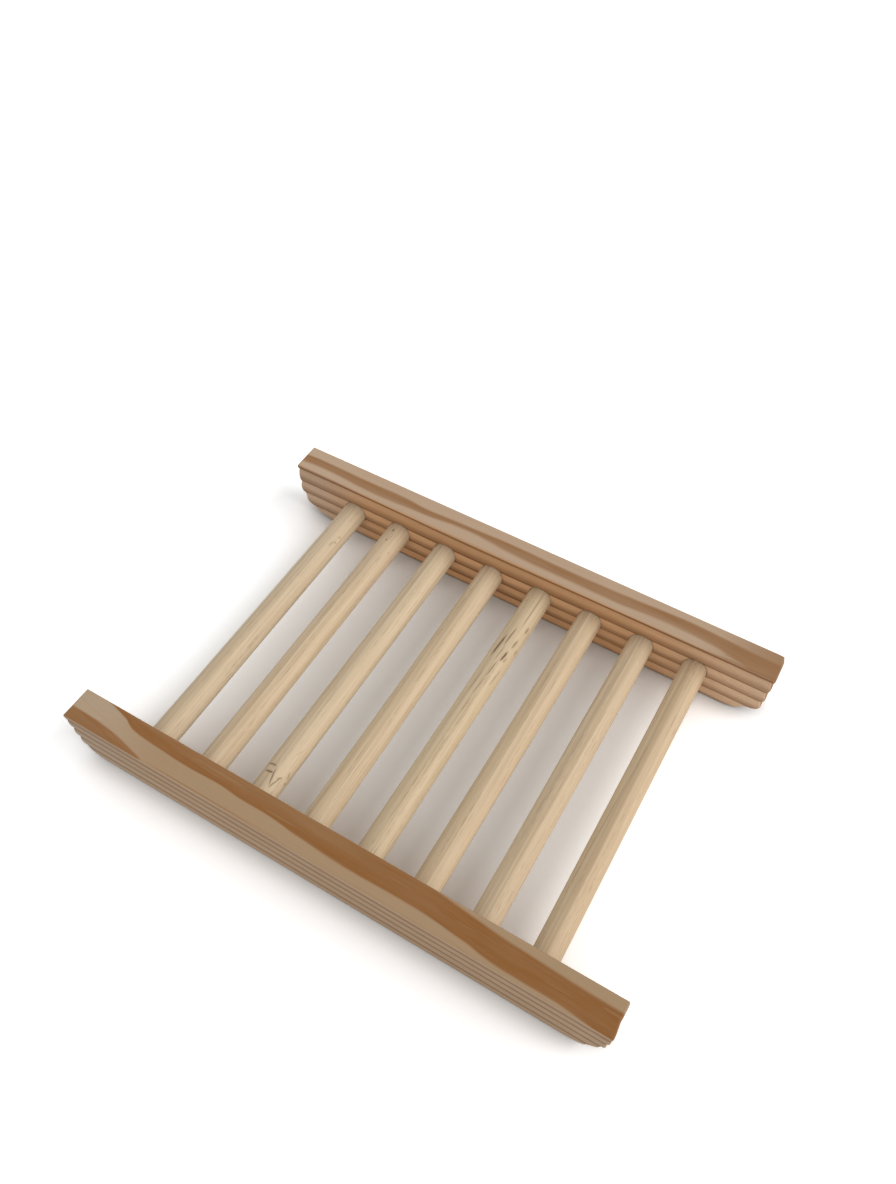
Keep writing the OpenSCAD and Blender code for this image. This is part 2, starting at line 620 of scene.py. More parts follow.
# The look of each rail, in millimetres and in shares of its length, thickness and height.
# An end outline gives, for heights above the floor, how far the end of the rail stands back.
# The edges of a band are curves over the length, and a streak has its place, half length and half width.
FRONT_LOOK = {
    "grooves": (14.7, 10.9, 7.25, 3.35),
    "left_outline": (
        (0.0, 7.4), (0.15, 5.8), (0.3, 4.95), (0.52, 4.1), (0.8, 3.27), (1.1, 2.37), (1.6, 1.58),
        (2.2, 0.9), (2.6, 0.55), (3.0, 0.35), (3.8, 0.0), (5.0, 0.0), (6.3, 0.25), (6.9, 0.15), (7.4, 0.0),
        (9.5, 0.0), (10.6, 0.25), (11.2, 0.15), (12.2, 0.0), (14.0, 0.05), (14.6, 0.3), (15.2, 0.1),
        (15.6, 0.0), (16.0, 0.0),
    ),
    "right_outline": (
        (0.0, 7.9), (0.14, 7.4), (0.4, 5.87), (0.95, 4.35), (1.2, 3.7), (1.7, 3.2), (2.55, 3.0),
        (2.7, 2.35), (3.3, 2.2), (4.13, 2.04), (4.6, 1.9), (4.9, 1.6), (5.4, 1.25), (6.2, 1.05), (6.6, 1.0),
        (6.75, 0.45), (7.4, 0.25), (8.2, 0.25), (9.2, 0.35), (10.4, 0.55), (10.6, 0.1), (11.0, 0.0),
        (12.2, 0.0), (13.2, 0.2), (14.4, 0.5), (14.6, 0.1), (14.9, 0.0), (16.0, 0.0),
    ),
    "late_edge_shares": (
        (0.0, -0.12), (0.06, 0.05), (0.094, 0.19), (0.128, 0.39), (0.18, 0.45), (0.23, 0.49),
        (0.295, 0.465), (0.35, 0.52), (0.395, 0.515), (0.46, 0.61), (0.55, 0.672), (0.68, 0.667),
        (0.75, 0.755), (0.824, 0.87), (0.9, 0.89), (0.955, 0.96), (0.975, 1.02), (1.0, 1.1),
    ),
    "early_edge_shares": (
        (0.0, -0.7), (0.6, -0.3), (0.684, 0.0), (0.75, 0.13), (0.82, 0.22), (0.9, 0.28), (1.0, 0.32),
    ),
    "wedge_edge_shares": (
        (0.0, 0.617), (0.045, 0.617), (0.07, 0.65), (0.095, 0.7), (0.12, 0.778), (0.14, 0.853),
        (0.16, 0.93), (0.19, 1.05), (1.0, 1.3),
    ),
    "edge_softness": (0.035, 0.05),
    "right_brown_share": 0.0,
    "lean_share": 0.5,
    "ripe_share": 0.22,
    "fade_share": 0.0,
    "worn_share": 0.8,
    "end_share": 0.0,
    # Painted shade down each reed, then the painted shade lines in the grooves, under the lip and along the
    # foot
    "reed_shade": (0.6, 1.0, 0.1),
    "line_shade": 0.62,
    "line_start": 0.14,
    "line_widths": (0.3, 0.2),
    "lip_line": (0.3, 0.75, 0.3),
    "line_bow": 0.0,
    "low_share": 0.16,
    "top_reed_share": 0.0,
    "pale_streaks": (
        (37.5, 0.2, 5.5, 0.03), (35.0, 0.3, 4.0, 0.02), (52.0, 0.42, 4.5, 0.03), (79.0, 0.31, 3.0, 0.015),
        (94.0, 0.42, 3.0, 0.015), (113.0, 0.6, 3.5, 0.012), (123.0, 0.44, 2.5, 0.03),
    ),
    "brown_streaks": ((36.0, 0.94, 16.0, 0.02), (95.5, 0.45, 2.5, 0.012)),
}
BACK_LOOK = {
    "grooves": (15.1, 10.6, 6.7, 2.9),
    "left_outline": (
        (0.0, 8.6), (0.5, 7.8), (0.95, 6.85), (1.29, 5.41), (1.51, 4.68), (1.92, 4.04), (2.34, 3.4),
        (2.71, 2.71), (3.18, 2.07), (3.73, 1.47), (4.53, 1.25), (5.37, 1.2), (5.9, 1.05), (6.2, 0.85),
        (6.66, 0.26), (7.43, 0.05), (9.0, 0.0), (9.75, 0.2), (10.3, 0.2), (10.8, 0.0), (12.5, 0.0),
        (14.2, 0.15), (14.9, 0.25), (15.3, 0.0), (16.0, 0.0),
    ),
    "right_outline": (
        (0.0, 8.0), (0.35, 6.9), (0.57, 5.4), (0.91, 4.7), (1.55, 4.1), (2.1, 3.6), (2.4, 2.9), (2.7, 1.8),
        (3.18, 0.95), (3.8, 0.35), (4.6, 0.1), (5.2, 0.15), (6.0, 0.35), (6.6, 0.55), (7.0, 0.6),
        (7.2, 0.15), (7.5, 0.0), (8.2, 0.0), (9.4, 0.25), (10.4, 0.5), (10.9, 0.55), (11.1, 0.15),
        (11.4, 0.0), (12.4, 0.0), (13.4, 0.25), (14.4, 0.55), (15.0, 0.65), (15.15, 0.15), (15.35, 0.0),
        (16.0, 0.0),
    ),
    "late_edge_shares": (
        (0.0, 0.736), (0.06, 0.69), (0.13, 0.744), (0.18, 0.764), (0.23, 0.744), (0.3, 0.68), (0.38, 0.585),
        (0.43, 0.633), (0.47, 0.69), (0.57, 0.728), (0.69, 0.736), (0.74, 0.694), (0.8, 0.653),
        (0.87, 0.7), (0.91, 0.8), (0.95, 0.98), (0.97, 1.15), (1.0, 1.3),
    ),
    "early_edge_shares": (
        (0.0, 0.417), (0.05, 0.39), (0.14, 0.41), (0.24, 0.41), (0.285, 0.46), (0.33, 0.44), (0.4, 0.4),
        (0.5, 0.37), (0.63, 0.4), (0.75, 0.33), (0.81, 0.28), (0.86, 0.29), (0.92, 0.34), (1.0, 0.42),
    ),
    "wedge_edge_shares": ((0.0, 1.4), (1.0, 1.4)),
    "edge_softness": (0.07, 0.05),
    "right_brown_share": 0.75,
    "lean_share": 0.3,
    "ripe_share": 0.0,
    "fade_share": 0.18,
    "worn_share": 0.1,
    "end_share": 0.7,
    # Painted shade down each reed, then the painted shade lines in the grooves, under the lip and along the
    # foot
    "reed_shade": (0.25, 0.8, 0.5),
    "line_shade": 0.76,
    "line_start": 0.0,
    "line_widths": (0.05, 0.2),
    "lip_line": (-0.42, 0.4, 0.22),
    "line_bow": 0.5,
    "low_share": 0.0,
    "top_reed_share": 0.17,
    "pale_streaks": (),
    "brown_streaks": (
        (34.4, 0.49, 0.7, 0.025), (115.0, 0.83, 3.0, 0.02), (115.0, 0.93, 3.0, 0.02),
        (5.0, 0.97, 13.0, 0.025), (118.0, 0.97, 9.0, 0.03),
    ),
}


class RailWood:
    """Softwood with one broad band of late wood that runs along the rail"""

    # Grain: blobs per millimetre along, across and down, then its detail and roughness
    WAVER = ((0.11, 0.3, 0.3), 2.0, 0.5)
    HAIRS = ((0.12, 3.4, 3.4), 4.0, 0.7)
    FIBRES = ((0.4, 8.0, 8.0), 3.0, 0.7)
    BLOTCHES = ((0.07, 0.5, 0.5), 2.0, 0.5)
    PORES = ((3.0, 6.0, 6.0), 3.0, 0.7)
    # Streaks run with the band: blobs per millimetre along, per thickness from its edge and per height down
    STREAKS = ((0.035, 15.0, 20.0), 4.0, 0.6)
    WAVER_SHARE = 0.05

    # The brown wedge at the left end: how fast its edge leans with depth, then its edge and strength
    WEDGE_LEAN = 8.0
    WEDGE_EDGE = (-0.035, 0.035, 0.88)

    # Stretches over which something changes, as shares of the length from the left end
    WORN_STRETCH = (0.03, 0.2)
    BOW_START, BOW_END = (0.08, 0.38), (0.4, 0.9)
    RIPE_STRETCH = (0.45, 0.75)
    BROWN_STRETCH = (0.85, 1.0)
    PALE_STRETCH = (0.7, 1.0)
    LOW_STRETCH = (0.3, 0.6)
    # The same, as shares of the thickness from the band's edge and of the height from the top
    RIPE_WIDTH, FADE_WIDTH = (0.0, 0.5), (0.02, 0.4)
    LOW_HEIGHT, TOP_REED_HEIGHT = (0.2, 0.9), (0.1, 0.6)
    # Painted shade lines on the sides start this far below the top, and a painted contact shadow runs along
    # the foot, in millimetres
    LINES_START = (1.0, 1.5)
    FOOT_LINE = (0.5, 0.4)

    # Levels of the grain between which a tint comes in, and its full strength
    HAIR_TINT = (0.4, 0.65, 0.15)
    BLOTCH_TINT = (0.3, 0.75, 0.12)
    FIBRE_TINT = (0.3, 0.8, 0.084)
    EARLY_STREAK_TINT = (0.5, 0.85, 0.34)
    SIDE_STREAK_TINT, SIDE_HAIR_TINT = (0.4, 0.8, 0.15), (0.35, 0.75, 0.125)
    # Greys that the wood is multiplied with as the hairs rise
    HAIR_GREYS = (0.915, 1.06)
    # Strengths of a tint: a level for all of it and how much the grain adds
    LATE_LEVEL, LATE_STREAKS = 0.73, 0.5
    END_LEVEL, END_PORES = 0.25, 0.3
    PALE_STREAK, BROWN_STREAK = 0.22, 0.5
    WORN_SIDE = 0.75
    # How much of the side colour, with its painted light, covers the sides
    SIDE = 0.85

    # How squarely a face looks sideways, to the back or along the rail, where its finish comes in; a face
    # to the back keeps the plain pale, without the painted light of the side colour
    SIDE_FACING, BACK_FACING, END_FACING = (0.45, 0.75), (-0.3, 0.3), (0.6, 0.9)

    ROUGHNESS, HAIR_ROUGHNESS = 0.6, 0.18
    SPECULAR = 0.3
    # The relief that can be felt, and the shares of the hairs, streaks and fibres in it
    RELIEF = 0.06 * MM
    RELIEF_SHARES = (0.5, 0.3, 0.2)

    def __init__(self, finish, form, shades, end_pale, look):
        self.finish, self.form, self.look = finish, form, look
        self.pale, self.brown, self.side, self.grey, self.groove = shades
        self.end_pale = end_pale
        self.place = finish.place()
        x, y, self.up = self.place
        self.from_left = x - form.low.x / MM
        self.along = self.from_left / (form.length / MM)
        self.depth = (form.high.z / MM - self.up) / (form.height / MM)
        self.share = (form.high.y / MM - y) / (form.thickness / MM)
        waver = (finish.grain(self.place, *self.WAVER) - 0.5) * self.WAVER_SHARE
        across = self.share + self.depth * look["lean_share"] + waver
        self.before_late = finish.curve(self.along, look["late_edge_shares"]) - across
        self.past_early = across - finish.curve(self.along, look["early_edge_shares"])
        past_wedge = across - finish.curve(self.along, look["wedge_edge_shares"])
        self.in_wedge = past_wedge - self.depth * self.WEDGE_LEAN
        self.streaks = finish.grain((x, self.before_late, self.depth), *self.STREAKS)
        self.hairs = finish.grain(self.place, *self.HAIRS)
        self.fibres = finish.grain(self.place, *self.FIBRES)
        self.worn = self.along.fall(*self.WORN_STRETCH)
        self.middle = self.along.rise(*self.BOW_START) * self.along.fall(*self.BOW_END)
        self.bow = self.middle * look["line_bow"]

    def browned(self, colour, share):
        """A colour that is mixed with the brown of late wood."""
        return self.finish.mix(share, colour, self.brown)

    def late_wood(self):
        """How brown the wood is: the band, the wedge and, beside them, thin streaks."""
        late_softness, early_softness = self.look["edge_softness"]
        band = self.before_late.rise(-late_softness, late_softness)
        band = band * self.past_early.rise(-early_softness, early_softness)
        late = band.at_least(self.in_wedge.rise(*self.WEDGE_EDGE))
        ripe = self.before_late.rise(*self.RIPE_WIDTH) * self.along.fall(*self.RIPE_STRETCH)
        faded = self.past_early.rise(*self.FADE_WIDTH)
        paling = (1 - self.look["ripe_share"] * ripe) * (1 - self.look["fade_share"] * faded)
        brown = late * paling * (self.LATE_LEVEL + self.LATE_STREAKS * self.streaks)
        return brown + (1 - late) * self.streaks.rise(*self.EARLY_STREAK_TINT)

    def top(self):
        """The wood as it shows on the top and the ends."""
        finish, look = self.finish, self.look
        wood = finish.mix(self.worn * look["worn_share"], self.pale, self.grey)
        wood = self.browned(wood, self.along.rise(*self.BROWN_STRETCH, look["right_brown_share"]))
        wood = self.browned(wood, self.late_wood())
        wood = self.browned(wood, self.hairs.rise(*self.HAIR_TINT))
        wood = finish.times(wood, finish.noise_grey(self.hairs, *self.HAIR_GREYS))
        wood = finish.mix(finish.grain(self.place, *self.BLOTCHES).rise(*self.BLOTCH_TINT), wood, self.pale)
        for streaks, tone, strength in (
            (look["pale_streaks"], self.pale, self.PALE_STREAK),
            (look["brown_streaks"], self.brown, self.BROWN_STREAK),
        ):
            for *place, half_length, half_width in streaks:
                streak = finish.dash(self.from_left, self.share, place, half_length, half_width)
                wood = finish.mix(streak * strength, wood, tone)
        return wood

    def flank(self):
        """The wood as it shows on the reeded sides: the side colour, lightened as painted light, where they
        face -Y, and plain pale where they face the back.
        """
        finish, look = self.finish, self.look
        flank = finish.mix(finish.facing(1).rise(*self.BACK_FACING), self.side, self.pale)
        flank = finish.mix(self.worn * self.WORN_SIDE, flank, self.grey)
        flank = finish.mix(self.along.rise(*self.PALE_STRETCH, look["end_share"]), flank, self.end_pale)
        low_left = self.depth.rise(*self.LOW_HEIGHT) * self.along.fall(*self.LOW_STRETCH)
        flank = finish.mix(low_left * look["low_share"], flank, self.end_pale)
        top_reed = (1 + self.middle) * self.depth.fall(*self.TOP_REED_HEIGHT)
        flank = self.browned(flank, top_reed * look["top_reed_share"])
        grain = self.streaks.rise(*self.SIDE_STREAK_TINT) + self.hairs.rise(*self.SIDE_HAIR_TINT)
        return self.browned(flank, grain)

    def lines(self, below):
        """Painted shade as thin dark lines in the grooves and under the lip, and a painted contact shadow
        along the foot.
        """
        look = self.look
        under_width, over_width = look["line_widths"]
        line = below.fall(look["line_start"], under_width).at_least(below.rise(1 - over_width, 1.0))
        line = line * (self.depth * (self.form.height / MM)).rise(*self.LINES_START)
        lip_drop, lip_width, lip_softness = look["lip_line"]
        from_lip = self.up + self.bow - self.form.grooves[0] / MM + lip_drop
        line = line.at_least(from_lip.within(lip_width, lip_softness))
        return line.at_least(self.up.within(*self.FOOT_LINE))

    def colour(self):
        """The top, the sides over it with painted shade down each reed and in its grooves, and the end
        grain.
        """
        finish, look = self.finish, self.look
        on_side = abs(finish.facing(1)).rise(*self.SIDE_FACING)
        wood = finish.mix(on_side * self.SIDE, self.top(), self.flank())
        height_share = 1 - self.depth + self.bow / (self.form.height / MM)
        below = finish.curve(height_share, reed_shares(self.form), "VECTOR")
        # Painted shade: each reed darkens towards its lower edge, where it turns down and away from the
        # light
        wood = finish.mix(on_side * below.rise(*look["reed_shade"]), wood, self.groove)
        wood = finish.mix(on_side * self.lines(below) * look["line_shade"], wood, self.groove)
        pores = finish.grain(self.place, *self.PORES)
        end_grain = abs(finish.facing(0)).rise(*self.END_FACING)
        wood = self.browned(wood, end_grain * (self.END_LEVEL + self.END_PORES * pores))
        return self.browned(wood, self.fibres.rise(*self.FIBRE_TINT))

    def fill(self):
        """Fills the material: bare, matt wood with a fine grain that can be felt."""
        hair_share, streak_share, fibre_share = self.RELIEF_SHARES
        height = self.hairs * hair_share + self.streaks * streak_share + self.fibres * fibre_share
        roughness = self.ROUGHNESS + self.HAIR_ROUGHNESS * self.hairs
        self.finish.surface(self.colour(), roughness, self.SPECULAR, height, self.RELIEF)


def reed_shares(form):
    """How far down its reed a height lies, as the points of a curve over the height of the rail."""
    hair = 0.002
    lip_start, lip_end = 0.5, 0.3
    points = []
    for upper, lower in reversed(form.reeds()):
        top, bottom = upper / form.height, lower / form.height
        if bottom < 0:
            points.append((0.0, upper / (upper - lower)))
        else:
            points.append((bottom + hair, 1.0))
        points.append((top - hair, 0.0))
    lip_edge = form.grooves[0] / form.height
    return points + [(lip_edge + hair, lip_start), (1.0, lip_end)]


class RodForm:
    """The surface of a bamboo rod, worked out from its box, with soft flats and fine furrows"""

    STATION_STEP = 1.2 * MM
    # A rod's place over this length is its own number, which sets its noise apart
    OWN_LENGTH = 10 * MM
    TWIST = 0.6
    TWIST_LENGTH = 70 * MM
    # Blobs of the noise for each radius, and how long they are
    FURROW_BLOBS, FURROW_LENGTH = 9, 40 * MM
    FLAT_BLOBS, FLAT_LENGTH = 1.4, 60 * MM
    # The share of its full depth that a flat has where it is shallowest
    FLAT_LEAST = 0.4

    def __init__(self, node, sizes):
        self.low, self.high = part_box(node)
        self.sizes = sizes
        self.radius = (self.high.x - self.low.x) / 2
        self.centre = Vector(((self.low.x + self.high.x) / 2, 0.0, (self.low.z + self.high.z) / 2))
        self.own = self.centre.x / self.OWN_LENGTH

    def stations(self):
        low_y, high_y, chamfer = self.low.y, self.high.y, self.sizes.chamfer
        inner = np.arange(low_y + chamfer, high_y - chamfer, self.STATION_STEP)
        return np.array([low_y, *inner, high_y - chamfer, high_y])

    def unevenness(self, y, angle, blobs, blob_length):
        """Noise from 0 to 1 at a place around and along the rod."""
        across, up = math.sin(angle) * blobs, math.cos(angle) * blobs
        return noise_share(Vector((up, across, self.own + y / blob_length)))

    def reach(self, y, angle, twist):
        """Distance of the surface from the axis."""
        sizes = self.sizes
        turn = 2 * math.pi / sizes.flat_count
        chamfered = self.radius - max(0.0, sizes.chamfer - min(y - self.low.y, self.high.y - y))
        furrow = self.unevenness(y, angle, self.FURROW_BLOBS, self.FURROW_LENGTH)
        uneven = self.unevenness(y, angle, self.FLAT_BLOBS, self.FLAT_LENGTH)
        from_flat = ((angle + self.own + twist) % turn) / turn - 0.5
        flat = (1 - (2 * from_flat) ** 2) * (self.FLAT_LEAST + (1 - self.FLAT_LEAST) * uneven)
        return chamfered - sizes.fibre_depth * furrow - sizes.flat_depth * flat

    def mesh(self, name):
        facets, centre = self.sizes.facets, self.centre
        stations = self.stations()
        points = np.empty((len(stations), facets + 1, 3))
        for row, y in enumerate(stations):
            twist = self.TWIST * noise.noise(Vector((self.own, y / self.TWIST_LENGTH, 0.0)))
            for column, angle in enumerate(np.arange(facets) * 2 * math.pi / facets):
                reach = self.reach(y, angle, twist)
                x, z = centre.x + reach * math.sin(angle), centre.z + reach * math.cos(angle)
                points[row, column] = (x, y, z)
        points[:, -1] = points[:, 0]
        caps = []
        for row, flipped in ((0, False), (-1, True)):
            rim = points[row]
            middle = np.broadcast_to(rim[:-1].mean(0), rim.shape)
            caps.append(quad_patch(np.stack([rim, middle]), flipped))
        return welded_mesh(name, [quad_patch(points, False), *caps])


# Each mark of a rod: around from its top and along it, half length, half width, lean and strength
CROSSWISE_MARKS = {
    "rod_3": (
        (-1.2, -30.45, 1.4, 0.16, 0.0, 0.8), (-0.8, -32.15, 1.2, 0.18, 0.1, 0.9),
        (4.1, -32.3, 0.3, 0.3, 0.0, 0.6),
    ),
    "rod_2": (
        (-0.3, 35.4, 0.35, 0.3, 0.0, 0.8), (-0.1, 32.0, 0.28, 0.26, 0.0, 0.7),
        (2.47, 29.3, 0.2, 0.2, 0.0, 0.4),
    ),
}
LENGTHWISE_MARKS = {
    "rod_1": (
        (2.6, 27.4, 0.4, 0.15, 0.0, 0.5), (1.95, 24.4, 1.0, 0.1, 0.1, 0.5),
        (2.6, 25.5, 0.3, 0.25, 0.8, 0.45),
    ),
    "rod_2": ((1.5, 25.9, 1.5, 0.08, 0.0, 0.3), (0.4, 33.5, 1.4, 0.1, 0.0, 0.3)),
    "rod_3": (
        (0.6, -32.9, 2.3, 0.14, -0.25, 0.8), (1.7, -33.7, 1.8, 0.12, 0.3, 0.7),
        (2.05, -32.3, 0.6, 0.18, 0.6, 0.7), (3.6, -30.6, 0.9, 0.18, -0.3, 0.5),
        (2.3, -25.4, 0.9, 0.08, 0.3, 0.35),
    ),
    "rod_5": (
        (1.22, 31.5, 6.0, 0.1, 0.02, 0.5), (0.05, 22.5, 3.0, 0.14, 0.08, 0.75),
        (0.1, 17.5, 2.5, 0.09, 0.08, 0.5), (-1.2, 19.2, 3.6, 0.2, 0.1, 1.0),
        (1.4, 17.1, 1.8, 0.22, 0.12, 1.0), (2.0, 21.3, 1.6, 0.2, 0.1, 0.7),
        (2.8, 26.3, 1.2, 0.22, 0.05, 0.65), (3.6, 20.2, 1.0, 0.26, 0.1, 0.5),
        (2.1, 16.5, 0.9, 0.16, 0.1, 0.6), (0.5, 12.6, 2.8, 0.11, 0.08, 0.7),
        (0.25, 7.8, 3.0, 0.09, 0.08, 0.5), (-1.1, 8.4, 3.5, 0.09, 0.05, 0.5),
        (2.4, 11.4, 3.0, 0.11, 0.08, 0.5), (0.2, 2.0, 2.5, 0.09, 0.06, 0.4),
    ),
    "rod_8": ((-1.9, -8.0, 18.0, 0.1, 0.04, 0.35),),
}
# The edge of the skin side of each rod: how far round from its top it lies, and how far it leans
SKIN_EDGES = {
    "rod_1": (0.05, 0.0), "rod_2": (0.0, 0.0), "rod_3": (-0.4, 0.0), "rod_4": (0.3, -0.025),
    "rod_5": (0.2, 0.0), "rod_6": (0.05, -0.008), "rod_7": (-0.4, 0.0), "rod_8": (-0.9, 0.0),
}
# What the colours of the bamboo are multiplied with, on the skin side and on each rod
SKIN_TONE = (1.13, 1.18, 1.2)
ROD_TONES = {
    "rod_1": (0.97, 0.98, 1.0), "rod_2": (0.98, 0.97, 0.97), "rod_3": (1.0, 1.01, 1.02),
    "rod_4": (0.99, 0.98, 0.97), "rod_5": (0.99, 0.99, 0.97), "rod_6": (1.0, 0.98, 0.96),
    "rod_7": (1.0, 0.99, 0.99), "rod_8": (0.97, 0.93, 0.89),
}


class RodBamboo:
    """Pale bamboo with fine fibres that run along the rod"""

    # Grain: blobs per millimetre across, up and along, then its detail and roughness
    FIBRES = ((3.6, 3.6, 0.05), 4.0, 0.7)
    THREADS = ((3.2, 3.2, 0.03), 3.0, 0.7)
    BUNDLES = ((1.3, 1.3, 0.02), 2.0, 0.5)
    CLOUD = ((0.2, 0.2, 0.06), 2.0, 0.5)
    FLECKS = ((7.0, 7.0, 0.7), 2.0, 0.5)
    # Grain over the surface: blobs per millimetre around and along, and 1 for the rod's own number
    LINES = ((2.6, 0.035, 1.0), 2.0, 0.6)
    LINE_GAPS = ((4.0, 0.5, 1.0), 2.0, 0.5)
    MARK_WOBBLE = ((1.2, 1.6, 1.0), 2.0, 0.5)
    WOBBLE = 0.35

    # Levels of the grain between which a tint comes in, and its full strength
    FIBRE_TINT, THREAD_TINT, BUNDLE_TINT = (0.3, 0.7, 0.45), (0.3, 0.7, 0.2), (0.35, 0.65, 0.3)
    CLOUD_TINT = (0.3, 0.7, 0.15)
    FLECK_TINT = (0.62, 0.8, 0.3)
    LINE_TINT, LINE_GAP_TINT = (0.56, 0.66, 0.5), (0.4, 0.6)
    # How stained the thin lines are, and the greys that the bamboo is multiplied with along its threads
    LINE_STAIN = 0.45
    THREAD_GREYS = (0.93, 1.06)

    # Millimetres from the edge of the skin side: where a shadow rises, its strength and where it falls
    SHADOW_RISE, SHADOW_FALL = (-1.1, -0.05, 0.12), (-0.02, 0.16)
    BEYOND_RISE, BEYOND_FALL = (0.2, 0.5, 0.07), (0.9, 1.7)
    SKIN_FALL = (-2.2, -1.2)
    # A faint halo round each mark: how much longer and wider it is, and its strength
    HALO_LENGTH, HALO_WIDTH, HALO = 1.2, 3.0, 0.25

    ROUGHNESS, FIBRE_ROUGHNESS = 0.5, 0.2
    SPECULAR = 0.35
    # The relief that can be felt, and the shares of the fibres and threads in it
    RELIEF = 0.05 * MM
    RELIEF_SHARES = (0.7, 0.3)

    def __init__(self, finish, form, colours, node):
        self.finish, self.colours, self.node = finish, colours, node
        x, self.y, z = finish.place()
        across = x - form.centre.x / MM
        up = z - form.centre.z / MM
        self.place = (across, up, self.y)
        self.around = across.turn_from(up) * (form.radius / MM)
        self.seed = form.low.x / MM
        self.fibres = self.grain(self.FIBRES)
        self.threads = self.grain(self.THREADS)
        self.damage = self.marks()

    def grain(self, grain):
        """Grain through the rod, with its own seed."""
        return self.finish.grain(self.place, *grain, self.seed)

    def ground(self):
        """Cream ground with straw fibres, flecks and thin dark lines."""
        finish, colours = self.finish, self.colours
        straw = self.fibres.rise(*self.FIBRE_TINT) + self.threads.rise(*self.THREAD_TINT)
        straw = straw + self.grain(self.BUNDLES).rise(*self.BUNDLE_TINT)
        bamboo = finish.mix(straw, colours.cream, colours.straw)
        bamboo = finish.mix(self.grain(self.CLOUD).rise(*self.CLOUD_TINT), bamboo, colours.cream)
        bamboo = finish.mix(self.grain(self.FLECKS).rise(*self.FLECK_TINT), bamboo, colours.straw)
        skin_place = (self.around, self.y, self.seed)
        lines = finish.grain(skin_place, *self.LINES, self.seed).rise(*self.LINE_TINT)
        gaps = finish.grain(skin_place, *self.LINE_GAPS).rise(*self.LINE_GAP_TINT)
        bamboo = finish.mix(lines * gaps, bamboo, finish.mix(self.LINE_STAIN, colours.straw, colours.stain))
        return finish.times(bamboo, finish.noise_grey(self.threads, *self.THREAD_GREYS))

    def skin(self, bamboo):
        """The greyer skin side, with a shadow along its edge and a fainter one past it."""
        finish = self.finish
        edge_place, edge_lean = SKIN_EDGES[self.node]
        from_edge = self.around - self.y * edge_lean - edge_place
        shadow = from_edge.rise(*self.SHADOW_RISE) * from_edge.fall(*self.SHADOW_FALL)
        beyond = from_edge.rise(*self.BEYOND_RISE) * from_edge.fall(*self.BEYOND_FALL)
        bamboo = finish.times(bamboo, finish.grey(1 - shadow - beyond))
        return finish.mix(self.around.fall(*self.SKIN_FALL), bamboo, finish.times(bamboo, SKIN_TONE))

    def marks(self):
        """How dark the marks at nodes and in cracks are."""
        finish = self.finish
        skin_place = (self.around, self.y, 0.0)
        wobble = (finish.grain(skin_place, *self.MARK_WOBBLE, self.seed) - 0.5) * self.WOBBLE
        damage = 0.0
        for table, crosswise in ((LENGTHWISE_MARKS, False), (CROSSWISE_MARKS, True)):
            along, across = (self.around, self.y) if crosswise else (self.y, self.around)
            for aside, ahead, half_length, half_width, lean, strength in table.get(self.node, ()):
                place = (aside, ahead) if crosswise else (ahead, aside)
                mark = finish.dash(along, across + wobble, place, half_length, half_width, lean) * strength
                halo_size = (half_length * self.HALO_LENGTH, half_width * self.HALO_WIDTH)
                halo = finish.dash(along, across, place, *halo_size, lean) * (self.HALO * strength)
                damage = mark.at_least(halo).at_least(damage)
        return damage

    def fill(self):
        """Fills the material: bare bamboo with a soft sheen, and its marks sunk into it."""
        bamboo = self.finish.times(self.skin(self.ground()), ROD_TONES[self.node])
        bamboo = self.finish.mix(self.damage, bamboo, self.colours.stain)
        fibre_share, thread_share = self.RELIEF_SHARES
        height = fibre_share * self.fibres + thread_share * self.threads - self.damage
        roughness = self.ROUGHNESS + self.FIBRE_ROUGHNESS * self.fibres
        self.finish.surface(bamboo, roughness, self.SPECULAR, height, self.RELIEF)


